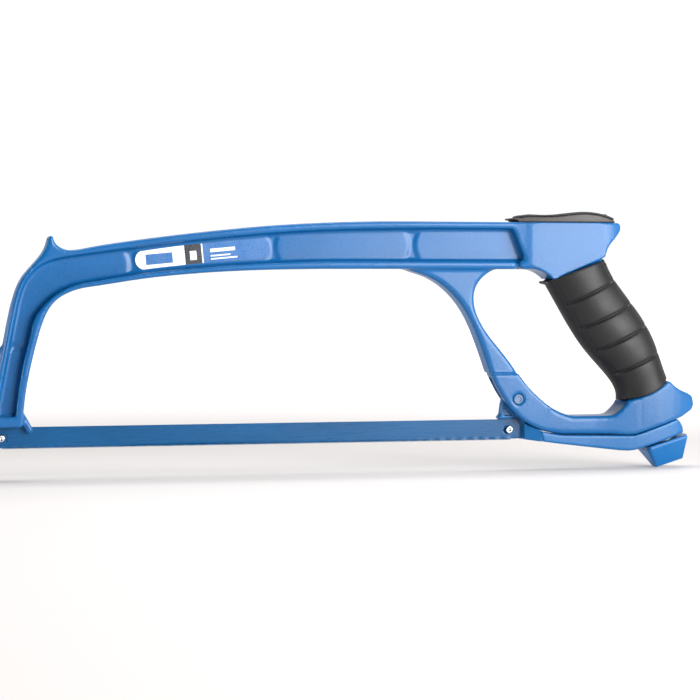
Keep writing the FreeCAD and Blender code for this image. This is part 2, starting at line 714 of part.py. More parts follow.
def make_knob():
    top = KNOB_GAP
    foot = KNOB_GAP + KNOB_HEIGHT
    rim = knob_section(KNOB_TOP, top)
    waist = knob_section(KNOB_TOP, top + 1.2)
    end = knob_section(KNOB_FOOT, foot)
    knob = Part.makeLoft([rim, waist], True, True).fuse(Part.makeLoft([waist, end], True, True))
    knob = knob.removeSplitter()
    knob = knob.cut(screw_cylinder(COLLAR_SPIGOT, top - 1.0, HEAD_START))
    head = hexagon(HEAD_FLATS, HEAD_START).extrude(screw_axis() * HEAD_HEIGHT)
    return knob.cut(head)


def make_tension_screw():
    head = hexagon(HEAD_FLATS, HEAD_START).extrude(screw_axis() * HEAD_HEIGHT)
    shank = screw_cylinder(SCREW_RADIUS, SCREW_TIP, HEAD_START + 1.0)
    return head.fuse(shank).removeSplitter()


def make_knob_collar():
    """Collar pressed into the knob over the screw's head."""
    flange = screw_cylinder(COLLAR_FLANGE, COLLAR_START, KNOB_GAP)
    spigot = screw_cylinder(COLLAR_SPIGOT, KNOB_GAP - 0.5, HEAD_START)
    return flange.fuse(spigot).removeSplitter().cut(
        screw_cylinder(SCREW_RADIUS, COLLAR_START - 1.0, HEAD_START + 1.0))


def make_friction_washer():
    return screw_cylinder(7.2, THRUST_END + RUNNING_GAP, COLLAR_START).cut(
        screw_cylinder(SCREW_RADIUS, THRUST_END - 1.0, COLLAR_START + 1.0))


def make_thrust_washer():
    return screw_cylinder(8.4, RUNNING_GAP, THRUST_END).cut(
        screw_cylinder(SCREW_RADIUS + RUNNING_GAP, -1.0, THRUST_END + 1.0))


# ---- the whole saw ----

def build_pieces():
    screws = make_thumb_rest_screws()
    rest = make_thumb_rest_base()
    pieces = {
        "frame": make_frame(),
        "grip_sleeve": make_grip(),
        "thumb_rest_base": rest,
        "thumb_rest_screws": screws,
        "thumb_rest_pad": make_thumb_rest_pad(rest, screws),
        "label_left": make_label(-1),
        "label_right": make_label(1),
        "front_blade_pin": make_pin(0.0, 7.0),
        "pivot_screw": make_pivot_screw(),
        "pivot_sleeve_nut": make_pivot_sleeve(),
        "pivot_washer_left": ring(PIVOT, 6.5, PIVOT_SHANK, -SLOT_HALF, -TONGUE_HALF - 0.05),
        "pivot_washer_right": ring(PIVOT, 6.5, PIVOT_RADIUS, TONGUE_HALF + 0.05, SLOT_HALF),
        "lever": make_lever(),
        "lever_bush": ring(PIVOT, BUSH_RADIUS, PIVOT_RADIUS + 0.05, -TONGUE_HALF, TONGUE_HALF),
        "rear_blade_pin": make_pin(PIN_SPACING, TONGUE_HALF),
        "blade": make_blade(),
        "barrel_nut": make_barrel_nut(),
        "thrust_washer": make_thrust_washer(),
        "friction_washer": make_friction_washer(),
        "knob_collar": make_knob_collar(),
        "tension_screw": make_tension_screw(),
        "knob": make_knob(),
    }
    return pieces


def resting_origin(pieces):
    """Point under the middle of the whole saw, level with its lowest point."""
    box = FreeCAD.BoundBox()
    for shape in pieces.values():
        box.add(shape.BoundBox)
    return Vector((box.XMin + box.XMax) / 2, 0.0, box.ZMin)


def main():
    os.makedirs("parts", exist_ok=True)
    pieces = build_pieces()
    origin = resting_origin(pieces)
    for name, shape in pieces.items():
        shape.translate(origin * -1)
        shape.exportStep(os.path.join("parts", name + ".step"))
        print(name, shape.isValid(), len(shape.Solids), round(shape.Volume, 1), "mm3")
    print("origin at", [round(v, 3) for v in origin])


if __name__ == "__main__":
    main()
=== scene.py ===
"""Hacksaw: the looks of the visual model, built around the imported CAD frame.

Lengths below are millimetres in the saw's own drawing: X runs back from the front blade pin, Z is
up from it and Y is across, with the blade at Y = 0. place() turns them into the row frame in metres.
"""
import math

import bmesh
import bpy
import numpy as np
import openvdb
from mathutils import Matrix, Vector


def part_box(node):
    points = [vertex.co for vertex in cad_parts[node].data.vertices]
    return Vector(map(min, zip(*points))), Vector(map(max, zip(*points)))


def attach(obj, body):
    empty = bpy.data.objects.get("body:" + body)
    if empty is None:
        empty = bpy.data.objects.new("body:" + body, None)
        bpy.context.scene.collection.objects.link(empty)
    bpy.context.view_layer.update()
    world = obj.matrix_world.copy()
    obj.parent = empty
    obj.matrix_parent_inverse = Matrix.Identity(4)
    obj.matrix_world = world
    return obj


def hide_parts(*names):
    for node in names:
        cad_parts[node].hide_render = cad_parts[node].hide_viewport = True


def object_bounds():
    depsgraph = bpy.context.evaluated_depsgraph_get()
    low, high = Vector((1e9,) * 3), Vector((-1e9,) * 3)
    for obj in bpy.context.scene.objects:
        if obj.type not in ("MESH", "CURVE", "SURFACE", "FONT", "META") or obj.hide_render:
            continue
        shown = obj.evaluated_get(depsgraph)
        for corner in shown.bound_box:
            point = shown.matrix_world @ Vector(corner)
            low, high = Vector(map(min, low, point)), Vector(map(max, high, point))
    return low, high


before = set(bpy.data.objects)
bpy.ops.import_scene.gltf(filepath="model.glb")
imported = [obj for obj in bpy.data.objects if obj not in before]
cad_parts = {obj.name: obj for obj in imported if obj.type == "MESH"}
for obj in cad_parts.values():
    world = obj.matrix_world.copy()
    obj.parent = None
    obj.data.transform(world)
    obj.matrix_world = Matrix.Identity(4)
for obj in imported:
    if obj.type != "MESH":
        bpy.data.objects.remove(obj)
cad_low, cad_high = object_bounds()

MM = 0.001
BAND = 9.0                  # half width of the distance fields, in voxels
FIELD_MARGIN = 8            # empty voxels kept round a piece
SMOOTH_PASSES = 2
TRIANGLE_LIMIT = 190000


# ---- places ----

def middle(node):
    low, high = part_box(node)
    return (low + high) / 2


FRONT_PIN = middle("front_blade_pin")


def place(x, z, y=0.0):
    """Point of the drawing, in the row frame."""
    return Vector((FRONT_PIN.x + x * MM, y * MM, FRONT_PIN.z + z * MM))


# ---- solids as distance fields ----

def triangles_of(obj):
    """Points in mm and triangles of an object's mesh."""
    mesh = obj.data
    mesh.calc_loop_triangles()
    points = np.zeros(len(mesh.vertices) * 3, np.float32)
    mesh.vertices.foreach_get("co", points)
    corners = np.zeros(len(mesh.loop_triangles) * 3, np.int32)
    mesh.loop_triangles.foreach_get("vertices", corners)
    return points.reshape(-1, 3) / MM, corners.reshape(-1, 3).astype(np.uint32)


def level_set(points, voxel, triangles=None, quads=None):
    """Distance field in mm of a closed surface."""
    grid_step = openvdb.createLinearTransform(voxelSize=voxel)
    return openvdb.FloatGrid.createLevelSetFromPolygons(
        np.ascontiguousarray(points, np.float32), triangles=triangles, quads=quads,
        transform=grid_step, exBandWidth=BAND, inBandWidth=BAND)


def offset(grid, distance, voxel):
    """The field of the surface that lies this far outside the grid's own."""
    points, quads = grid.convertToQuads(distance)
    return level_set(points, voxel, quads=quads)


def rounded(grid, convex, concave, voxel):
    """Outer edges rounded to the radius convex, and inner corners filled to concave."""
    grid = offset(grid, -convex, voxel)
    grid = offset(grid, convex + concave, voxel)
    return offset(grid, -concave, voxel)


class Field:
    """Dense block of a distance field, in mm, with the drawing's coordinates of its cells."""

    def __init__(self, grid, voxel, low, high):
        self.voxel, self.low, self.high = voxel, low, high
        self.first = np.floor(np.array(low) / voxel).astype(int) - FIELD_MARGIN
        size = np.ceil(np.array(high) / voxel).astype(int) + FIELD_MARGIN + 1 - self.first
        self.value = np.zeros(tuple(size), np.float32)
        grid.copyToArray(self.value, ijk=tuple(int(i) for i in self.first))
        steps = [(np.arange(n) + f) * voxel for n, f in zip(size, self.first)]
        self.x = (steps[0] - FRONT_PIN.x / MM)[:, None, None].astype(np.float32)
        self.y = steps[1][None, :, None].astype(np.float32)
        self.z = (steps[2] - FRONT_PIN.z / MM)[None, None, :].astype(np.float32)

    def limit(self):
        return BAND * self.voxel

    def keep(self, other):
        """Keeps what is also inside the other field."""
        self.value = np.minimum(np.maximum(self.value, other), self.limit())

    def add(self, other):
        """Adds what is inside the other field."""
        self.value = np.maximum(np.minimum(self.value, other), -self.limit())

    def carve(self, depth):
        """Moves the surface inwards by the depth, which may differ from place to place."""
        self.value = np.where(np.abs(self.value) < self.limit(), self.value + depth, self.value)

    def surface(self):
        """Points and quads of the surface."""
        grid = openvdb.FloatGrid(self.limit())
        grid.transform = openvdb.createLinearTransform(voxelSize=self.voxel)
        grid.gridClass = openvdb.GridClass.LEVEL_SET
        inside = np.clip(self.value, -self.limit(), self.limit()).astype(np.float32)
        grid.copyFromArray(inside, ijk=tuple(int(i) for i in self.first))
        return grid.convertToQuads(0.0)


def step(value, start, end):
    """0 before start, 1 after end, smooth between."""
    t = np.clip((value - start) / (end - start), 0.0, 1.0)
    return t * t * (3.0 - 2.0 * t)


def to_line(x, z, start, end):
    """Distance from the segment start-end in the side view."""
    dx, dz = end[0] - start[0], end[1] - start[1]
    along = np.clip(((x - start[0]) * dx + (z - start[1]) * dz) / (dx * dx + dz * dz), 0.0, 1.0)
    return np.hypot(x - start[0] - along * dx, z - start[1] - along * dz)


def to_path(x, z, points):
    """Distance from a run of segments in the side view."""
    nearest = np.full(np.broadcast_shapes(x.shape, z.shape), 1e3, np.float32)
    for start, end in zip(points, points[1:]):
        nearest = np.minimum(nearest, to_line(x, z, start, end))
    return nearest


def height_over(points, x, z):
    """How far a point lies above a run of segments, measured upwards."""
    return z - np.interp(x, [p[0] for p in points], [p[1] for p in points])


def new_piece(name, points, faces, body, node, material):
    """Mesh object in the row frame that stands for a CAD node."""
    mesh = bpy.data.meshes.new(name)
    mesh.from_pydata([tuple(p) for p in np.asarray(points, float) * MM], [],
                     [tuple(int(i) for i in f) for f in faces])
    mesh.polygons.foreach_set("use_smooth", [True] * len(mesh.polygons))
    piece = bpy.data.objects.new(name, mesh)
    bpy.context.scene.collection.objects.link(piece)
    soften = piece.modifiers.new("soften", "SMOOTH")
    soften.iterations = SMOOTH_PASSES
    soften.factor = 0.5
    if len(faces) * 2 > TRIANGLE_LIMIT:
        thin = piece.modifiers.new("thin", "DECIMATE")
        thin.ratio = TRIANGLE_LIMIT / (len(faces) * 2)
    evaluated = piece.evaluated_get(bpy.context.evaluated_depsgraph_get())
    final = bpy.data.meshes.new_from_object(evaluated)
    final.name = name
    piece.modifiers.clear()
    piece.data = final
    bpy.data.meshes.remove(mesh)
    final.materials.clear()
    final.materials.append(material)
    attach(piece, body)
    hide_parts(node)
    return piece


def softened(node, name, body, material, voxel, convex, concave, sculpt=None):
    """A CAD node with its edges rounded as a casting's or moulding's are."""
    points, corners = triangles_of(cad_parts[node])
    grid = level_set(points, voxel, triangles=corners)
    grid = rounded(grid, convex, concave, voxel)
    low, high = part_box(node)
    field = Field(grid, voxel, low / MM, high / MM)
    if sculpt:
        sculpt(field)
    points, quads = field.surface()
    return new_piece(name, points, quads, body, node, material)


# ---- materials ----

class Shader:
    """A material with a Principled shader, and short ways to add nodes to it."""

    def __init__(self, name, colour, roughness, metallic=0.0, specular=0.5):
        self.material = bpy.data.materials.new(name)
        self.material.use_nodes = True
        self.tree = self.material.node_tree
        self.shader = self.tree.nodes["Principled BSDF"]
        self.shader.inputs["Base Color"].default_value = (*colour, 1.0)
        self.shader.inputs["Roughness"].default_value = roughness
        self.shader.inputs["Metallic"].default_value = metallic
        self.shader.inputs["Specular IOR Level"].default_value = specular
        self.place = self.node("ShaderNodeTexCoord").outputs["Object"]

    def node(self, kind, **settings):
        made = self.tree.nodes.new(kind)
        for key, value in settings.items():
            setattr(made, key, value)
        return made

    def link(self, output, target):
        self.tree.links.new(output, target)

    def noise(self, size_mm, detail=3.0, stretch=(1.0, 1.0, 1.0)):
        """Noise whose features are about this large."""
        mapping = self.node("ShaderNodeMapping")
        mapping.inputs["Scale"].default_value = stretch
        self.link(self.place, mapping.inputs["Vector"])
        noise = self.node("ShaderNodeTexNoise")
        noise.inputs["Scale"].default_value = 1.0 / (size_mm * MM)
        noise.inputs["Detail"].default_value = detail
        self.link(mapping.outputs["Vector"], noise.inputs["Vector"])
        return noise.outputs["Fac"]

    def cells(self, size_mm):
        """Pebbles of about this size."""
        cells = self.node("ShaderNodeTexVoronoi", feature="F1")
        cells.inputs["Scale"].default_value = 1.0 / (size_mm * MM)
        self.link(self.place, cells.inputs["Vector"])
        return cells.outputs["Distance"]

    def math(self, operation, first, second):
        made = self.node("ShaderNodeMath", operation=operation)
        for socket, value in zip(made.inputs, (first, second)):
            if isinstance(value, (int, float)):
                socket.default_value = value
            else:
                self.link(value, socket)
        return made.outputs[0]

    def ramp(self, value, stops):
        """Colours along a value; stops are (position, colour)."""
        ramp = self.node("ShaderNodeValToRGB")
        elements = ramp.color_ramp.elements
        while len(elements) < len(stops):
            elements.new(0.5)
        for element, (position, colour) in zip(elements, stops):
            element.position = position
            element.color = (*colour, 1.0)
        self.link(value, ramp.inputs["Fac"])
        return ramp.outputs["Color"]

    def range(self, value, low, high, new_low, new_high):
        """The value moved from low..high to new_low..new_high, and held there."""
        made = self.node("ShaderNodeMapRange")
        for name, number in (("From Min", low), ("From Max", high), ("To Min", new_low),
                             ("To Max", new_high)):
            made.inputs[name].default_value = number
        self.link(value, made.inputs["Value"])
        return made.outputs["Result"]

    def mix(self, share, first, second):
        """Colour mix; first and second are colours or sockets."""
        made = self.node("ShaderNodeMix", data_type="RGBA")
        self.link(share, made.inputs["Factor"])
        for socket, value in ((made.inputs["A"], first), (made.inputs["B"], second)):
            if isinstance(value, tuple):
                socket.default_value = (*value, 1.0)
            else:
                self.link(value, socket)
        return made.outputs["Result"]

    def colour(self, socket):
        self.link(socket, self.shader.inputs["Base Color"])

    def roughness(self, socket):
        self.link(socket, self.shader.inputs["Roughness"])

    def bump(self, height, strength, distance_mm):
        made = self.node("ShaderNodeBump")
        made.inputs["Strength"].default_value = strength
        made.inputs["Distance"].default_value = distance_mm * MM
        self.link(height, made.inputs["Height"])
        self.link(made.outputs["Normal"], self.shader.inputs["Normal"])


def tint(colour, factor):
    return tuple(min(1.0, c * factor) for c in colour)


def powder_coat(name, colour):
    """Satin powder coat: fine orange peel, slight cloudiness."""
    made = Shader(name, colour, 0.3, specular=0.37)
    clouds = made.noise(34.0, 2.0)
    grain = made.noise(1.1, 2.0)
    shade = made.ramp(clouds, [(0.3, tint(colour, 0.93)), (0.7, tint(colour, 1.07))])
    made.colour(made.mix(made.range(grain, 0.35, 0.65, 0.0, 0.18), shade, tint(colour, 1.4)))
    made.roughness(made.range(grain, 0.3, 0.7, 0.27, 0.34))
    peel = made.math("ADD", made.cells(1.5), made.noise(0.8, 2.0))
    made.bump(peel, 0.22, 0.12)
    return made.material


def rubber(name, colour, roughness, pebble_mm):
    """Matt black rubber with a fine pebbled skin."""
    made = Shader(name, colour, roughness, specular=0.32)
    patches = made.noise(14.0, 3.0)
    made.colour(made.ramp(patches, [(0.3, tint(colour, 0.82)), (0.72, tint(colour, 1.25))]))
    made.roughness(made.range(patches, 0.3, 0.7, roughness - 0.06, roughness + 0.06))
    grain = made.math("ADD", made.cells(pebble_mm), made.noise(pebble_mm * 0.5, 2.0))
    made.bump(grain, 0.35, 0.1)
    return made.material


def steel(name, colour, roughness):
    """Turned or plated metal with fine tool lines."""
    made = Shader(name, colour, roughness, metallic=1.0)
    marks = made.noise(0.25, 2.0, stretch=(1.0, 0.15, 1.0))
    patches = made.noise(2.5, 2.0)
    made.colour(made.ramp(patches, [(0.3, tint(colour, 0.85)), (0.7, tint(colour, 1.1))]))
    made.roughness(made.range(marks, 0.3, 0.7, roughness * 0.75, roughness * 1.3))
    made.bump(marks, 0.15, 0.03)
    return made.material


def enamel(name, colour, tooth_line, tooth_foot):
    """Thin enamel on spring steel, with painted shade in darker patches along the teeth."""
    made = Shader(name, colour, 0.36, specular=0.27)
    clouds = made.noise(22.0, 3.0, stretch=(0.35, 1.0, 1.0))
    drawn = made.noise(0.7, 2.0, stretch=(0.06, 1.0, 1.0))
    shade = made.ramp(clouds, [(0.3, tint(colour, 0.88)), (0.7, tint(colour, 1.14))])
    parts = made.node("ShaderNodeSeparateXYZ")
    made.link(made.place, parts.inputs[0])
    low = made.range(parts.outputs["Z"], tooth_foot, tooth_line, 1.0, 0.0)
    # Painted shade of the teeth: the colour darkens in patches over the bottom 2 mm of the blade.
    teeth_shade = made.math("MULTIPLY", low, made.range(made.noise(2.2, 3.0), 0.42, 0.6, 0.0, 0.75))
    made.colour(made.mix(teeth_shade, shade, tint(colour, 0.35)))
    made.roughness(made.range(drawn, 0.3, 0.7, 0.24, 0.33))
    made.bump(made.math("ADD", drawn, made.noise(1.4, 2.0)), 0.16, 0.05)
    return made.material


def plastic(name, colour, roughness):
    """Moulding with a fine grain."""
    made = Shader(name, colour, roughness, specular=0.45)
    clouds = made.noise(6.0, 3.0)
    made.colour(made.ramp(clouds, [(0.3, tint(colour, 0.88)), (0.7, tint(colour, 1.12))]))
    grain = made.noise(0.6, 2.0)
    made.roughness(made.range(grain, 0.3, 0.7, roughness - 0.05, roughness + 0.07))
    made.bump(grain, 0.2, 0.06)
    return made.material


FRAME_BLUE = (0.003, 0.089, 0.260)
LEVER_BLUE = (0.003, 0.098, 0.280)
KNOB_BLUE = (0.003, 0.108, 0.315)
BLADE_BLUE = (0.001, 0.067, 0.185)

paint = powder_coat("satin_blue_coat", FRAME_BLUE)
lever_paint = powder_coat("lever_blue_coat", LEVER_BLUE)
knob_paint = powder_coat("knob_blue_coat", KNOB_BLUE)
grip_rubber = rubber("grip_black_rubber", (0.0095, 0.0095, 0.010), 0.5, 0.9)
pad_rubber = rubber("pad_black_rubber", (0.016, 0.016, 0.017), 0.5, 0.7)
rest_plastic = plastic("rest_grey_moulding", (0.032, 0.027, 0.025), 0.5)
bright_steel = steel("turned_pin_steel", (0.72, 0.73, 0.75), 0.22)
plated_steel = steel("plated_steel", (0.30, 0.38, 0.52), 0.34)
screw_steel = plastic("blued_screw", (0.085, 0.15, 0.27), 0.36)
dark_steel = steel("oiled_steel", (0.06, 0.09, 0.14), 0.45)
bronze = steel("sintered_bronze", (0.56, 0.38, 0.16), 0.42)
nylon = plastic("black_nylon_washer", (0.02, 0.02, 0.022), 0.5)

# The nodes that show their CAD meshes.
for node, material in (
        ("pivot_sleeve_nut", screw_steel),
        ("barrel_nut", dark_steel), ("tension_screw", dark_steel), ("knob_collar", dark_steel),
        ("thrust_washer", dark_steel), ("friction_washer", nylon),
        ("pivot_washer_left", nylon), ("pivot_washer_right", nylon),
        ("lever_bush", bronze), ("thumb_rest_screws", plated_steel)):
    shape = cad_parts[node]
    shape.data.materials.clear()
    shape.data.materials.append(material)


# ---- outlines in the side view ----

GRIP_GROOVES = [((326.0, 71.2), (360.5, 87.5)), ((334.0, 56.6), (370.6, 73.0)),
                ((345.4, 43.4), (381.5, 60.6)), ((357.6, 29.9), (388.9, 43.8))]
GRIP_FRONT = [(323.0, 87.0), (332.8, 70.4), (340.8, 57.4),
              (350.3, 44.9), (361.8, 32.4), (368.6, 16.4)]
GRIP_REAR = [(360.5, 100.5), (367.7, 87.6), (377.8, 74.7),
             (387.5, 60.7), (394.3, 45.7), (402.6, 25.4)]
BLOCK_FOOT = [(318.0, 87.0), (324.4, 89.6), (357.6, 103.2), (366.0, 106.6)]
PIVOT_AT = (303.2, 18.6)
HOUSING_FRONT = [(286.5, 34.0), (288.2, 29.6), (292.2, 22.3), (296.3, 16.1), (300.9, 10.7),
                 (305.8, 6.5), (311.3, 3.1), (317.5, 0.2), (324.5, -1.8)]


# ---- frame casting ----

FRAME_VOXEL = 0.5
HOUSING_HALF = 9.5
HOUSING_TOP = 34.2
HOUSING_REAR = 322.0
BLOCK_HALF = 10.9
SLEEVE_COVER = 3.6          # least thickness of the sleeve over the rear of the frame's bar


def nose_rounding(field):
    """Front of the pivot housing: the near cheek has a plain edge, the far one is well rounded."""
    fade = step(field.x, HOUSING_REAR, 313.0)
    radius = 1.2 + np.where(field.y < 0.0, 0.2, 8.2) * fade
    inwards = np.maximum(radius - to_path(field.x, field.z, HOUSING_FRONT), 0.0)
    sideways = np.maximum(np.abs(field.y) - (HOUSING_HALF - radius), 0.0)
    return np.hypot(inwards, sideways) - radius


def sculpt_frame(field, hand):
    """Softer edges where a hand goes, the housing's nose, and the flat sides of the rear block."""
    x, y, z = field.x, field.y, field.z
    bar = step(z, 36.0, 42.0) * step(z, 93.0, 86.0) * step(x, 226.0, 238.0) * step(x, 304.0, 300.0)
    floor = step(x, 319.0, 327.0) * step(x, 368.0, 362.0) * step(z, 34.0, 28.0)
    throat = step(x, 300.0, 304.0) * step(x, 324.0, 319.0)
    throat = throat * step(z, 86.0, 90.0) * step(z, 104.0, 100.0)
    mask = np.maximum(np.maximum(floor, throat), bar)
    softer = Field(hand, field.voxel, field.low, field.high).value
    field.value = field.value * (1.0 - mask) + softer * mask
    housing = (z < HOUSING_TOP) & (x < HOUSING_REAR)
    field.keep(np.where(housing, nose_rounding(field), -BAND))
    half = BLOCK_HALF - 0.9 * step(x, 312.0, 300.0) + 4.0 * step(z, 92.0, 84.0)
    field.keep(np.where((z > 84.0) & (x > 300.0), np.abs(y) - half, -BAND))
    under_sleeve = (z > 48.0) & (z < 102.8) & (x > 350.0)
    field.keep(np.where(under_sleeve, SLEEVE_COVER - to_path(x, z, GRIP_REAR), -BAND))


def make_casting():
    points, corners = triangles_of(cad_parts["frame"])
    base = level_set(points, FRAME_VOXEL, triangles=corners)
    hand = rounded(base, 2.2, 1.5, FRAME_VOXEL)
    low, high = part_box("frame")
    field = Field(rounded(base, 1.1, 0.9, FRAME_VOXEL), FRAME_VOXEL, low / MM, high / MM)
    sculpt_frame(field, hand)
    points, quads = field.surface()
    return new_piece("frame_casting", points, quads, "frame_body", "frame", paint)


# ---- tension lever ----

FLARE_FRONT = 308.6
FLARE_REAR = 318.6
NOSE_LEFT = 296.0
NOSE_FOOT = 8.5


def sculpt_lever(field):
    """Flared front of the arm behind the blade seat, and the sunk triangle in the nose."""
    x, y, z = field.x, field.y, field.z
    width = 4.4 + 4.3 * np.clip((x - FLARE_FRONT) / 9.0, 0.0, 1.0)
    under_base = height_over([(p[0], p[1] - 0.45) for p in HOUSING_FRONT], x, z)
    over_foot = -height_over([(300.0, -4.9), (304.7, -5.3), (322.0, -7.45)], x, z)
    flare = np.maximum(np.maximum(np.abs(y) - width, under_base), over_foot)
    flare = np.maximum(flare, np.maximum(FLARE_FRONT - x, x - FLARE_REAR))
    field.add(np.where((x > 305.0) & (x < 322.0), flare, BAND))
    slope = (x - NOSE_LEFT) * 0.66 + (z - 13.8) * 0.75
    triangle = np.maximum(np.maximum(NOSE_LEFT - x, NOSE_FOOT - z), slope)
    field.keep(-np.maximum(triangle, y + 1.7))


# ---- grip ----

SLEEVE_TOP_END = 366.0
LIP = ((326.0, 87.0), (321.2, 88.1))


def sculpt_grip(field):
    """Top edge close under the block, finger grooves, parting line, and the lip at the top."""
    x, y, z = field.x, field.y, field.z
    over_foot = height_over(BLOCK_FOOT, x, z)
    higher = np.roll(field.value, (-3, 0, 5), axis=(0, 1, 2))
    field.add(np.where((over_foot > -7.0) & (x < SLEEVE_TOP_END), higher, BAND))
    field.keep(np.where(x < SLEEVE_TOP_END, over_foot * 0.926, -BAND))
    from_front = to_path(x, z, GRIP_FRONT)
    from_rear = to_path(x, z, GRIP_REAR)
    depth = np.zeros_like(field.value)
    for start, end in GRIP_GROOVES:
        reach = (end[0] + (end[0] - start[0]) * 0.2, end[1] + (end[1] - start[1]) * 0.2)
        away = to_line(x, z, start, reach)
        groove = np.exp(-(away / 0.8) ** 2) * 1.15 + np.exp(-(away / 3.4) ** 2) * 0.4
        depth = np.maximum(depth, groove)
    depth = depth * step(from_front, 1.0, 5.0) * (0.25 + 0.75 * step(from_rear, 0.5, 5.0))
    seam = np.exp(-((from_front - 3.4) / 0.4) ** 2) * 0.15
    outside = np.maximum(step(np.abs(y), 8.2, 9.4), np.maximum(step(from_rear, 2.6, 1.8),
                                                               step(from_front, 5.4, 4.4)))
    field.carve((depth + seam) * outside)
    field.add(np.maximum(to_line(x, z, *LIP) - 0.8, np.abs(y) - 5.0))


# ---- knob ----

SEAT = (397.6, -6.8)
SCREW_LEAN = math.radians(16.7)
RIM_TOP = 1.15
RIM_FOOT = 3.4


def sculpt_knob(field):
    """Raised rim round the top of the knob, close under the lever."""
    dx, dz = field.x - SEAT[0], field.z - SEAT[1]
    down = dx * math.sin(SCREW_LEAN) - dz * math.cos(SCREW_LEAN)
    along = np.abs(dx * math.cos(SCREW_LEAN) + dz * math.sin(SCREW_LEAN))
    across = np.abs(field.y)
    below = down - 1.9
    plan = np.maximum(along - 13.5 + 0.326 * below, across - 9.9 + 0.493 * below)
    plan = np.maximum(plan, (along + across - 21.2 + 0.5 * below) * 0.707)
    hollow = 8.6 - np.hypot(along, across)
    rim = np.maximum(RIM_TOP - down, down - RIM_FOOT)
    field.add(np.maximum(np.maximum(plan, hollow), rim))


# ---- pivot screw ----

def fill_socket(field):
    """Shallow socket in the head of the pivot screw, as if clogged with paint."""
    away = np.hypot(field.x - PIVOT_AT[0], field.z - PIVOT_AT[1])
    field.add(np.maximum(away - 2.4, np.abs(field.y - field.low[1] - 1.5) - 1.1))


# ---- blade ----

SET_HEIGHT = 2.4
SET_WIDTH = 0.22
SET_LENGTH = 7.0


def make_blade():
    """The blade with the wavy set of its fine teeth."""
    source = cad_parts["blade"]
    mesh = source.data.copy()
    mesh.name = "saw_blade"
    built = bmesh.new()
    built.from_mesh(mesh)
    bmesh.ops.remove_doubles(built, verts=built.verts, dist=0.002 * MM)
    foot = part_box("blade")[0].z
    for height in (SET_HEIGHT, 1.6, 0.8):
        bmesh.ops.bisect_plane(built, geom=built.verts[:] + built.edges[:] + built.faces[:],
                               plane_co=(0, 0, foot + height * MM), plane_no=(0, 0, 1))
    for vertex in built.verts:
        share = float(step((vertex.co.z - foot) / MM, SET_HEIGHT, 0.0))
        wave = math.sin(math.tau * vertex.co.x / (SET_LENGTH * MM))
        vertex.co.y += SET_WIDTH * MM * share * wave
    built.to_mesh(mesh)
    built.free()
    blade = bpy.data.objects.new("saw_blade", mesh)
    bpy.context.scene.collection.objects.link(blade)
    mesh.materials.clear()
    mesh.materials.append(enamel("blade_blue_enamel", BLADE_BLUE, foot + 2.0 * MM, foot))
    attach(blade, "blade_body")
    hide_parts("blade")
    return blade


# ---- labels ----

LABEL_START = (75.8, 100.2)
LABEL_LEAN = math.radians(5.5)


def label_material():
    """Printed plate in plain bands: white, black and blue, with a few short bars."""
    made = Shader("label_print", (1.0, 1.0, 1.0), 0.3, specular=0.5)
    start = place(*LABEL_START)

    def along(angle):
        dot = made.node("ShaderNodeVectorMath", operation="DOT_PRODUCT")
        dot.inputs[1].default_value = (math.cos(angle) / MM, 0.0, math.sin(angle) / MM)
        made.link(made.place, dot.inputs[0])
        shift = (start.x * math.cos(angle) + start.z * math.sin(angle)) / MM
        return made.math("SUBTRACT", dot.outputs["Value"], shift)

    u, v = along(LABEL_LEAN), along(LABEL_LEAN + math.pi / 2)

    def between(value, low, high):
        return made.math("MULTIPLY", made.math("GREATER_THAN", value, low),
                         made.math("LESS_THAN", value, high))

    def box(u_low, u_high, v_low, v_high):
        return made.math("MULTIPLY", between(u, u_low, u_high), between(v, v_low, v_high))

    ink, white, black = (0.008, 0.110, 0.330), (0.80, 0.83, 0.87), (0.012, 0.012, 0.014)
    bars = ((31.6, 35.4, -2.6, 2.6), (43.5, 58.0, 0.9, 2.9),
            (43.5, 55.0, -1.6, -0.8), (43.5, 59.0, -3.4, -2.6))
    look = made.mix(made.math("GREATER_THAN", u, 28.6), white, black)
    look = made.mix(made.math("GREATER_THAN", u, 38.4), look, white)
    look = made.mix(made.math("GREATER_THAN", u, 39.2), look, ink)
    look = made.mix(box(6.0, 21.5, -3.0, 3.0), look, ink)
    for bar in bars:
        look = made.mix(box(*bar), look, white)
    clouds = made.range(made.noise(9.0, 2.0), 0.3, 0.7, 0.0, 0.10)
    made.colour(made.mix(clouds, look, (0.30, 0.36, 0.44)))
    made.roughness(made.range(made.noise(1.0, 2.0), 0.3, 0.7, 0.24, 0.36))
    made.bump(made.noise(2.5, 2.0), 0.08, 0.05)
    return made.material


# ---- the pieces ----

make_casting()
softened("lever", "tension_lever", "lever_body", lever_paint,
         0.35, 0.7, 0.3, sculpt_lever)
softened("knob", "tension_knob", "knob_body", knob_paint, 0.3, 0.6, 0.2, sculpt_knob)
softened("grip_sleeve", "ribbed_grip", "frame_body", grip_rubber,
         0.4, 0.3, 0.1, sculpt_grip)
softened("thumb_rest_base", "thumb_rest_carrier", "frame_body", rest_plastic,
         0.3, 0.45, 0.2)
softened("thumb_rest_pad", "thumb_rest_skin", "frame_body", pad_rubber,
         0.25, 0.45, 0.3)
softened("pivot_screw", "pivot_screw_domed", "frame_body", screw_steel,
         0.15, 0.55, 0.1, fill_socket)
softened("front_blade_pin", "front_pin", "frame_body", bright_steel, 0.12, 0.35, 0.1)
softened("rear_blade_pin", "rear_pin", "lever_body", bright_steel, 0.12, 0.35, 0.1)
make_blade()
for side in ("label_left", "label_right"):
    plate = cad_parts[side]
    plate.data.materials.clear()
    plate.data.materials.append(label_material())


# ---- camera ----

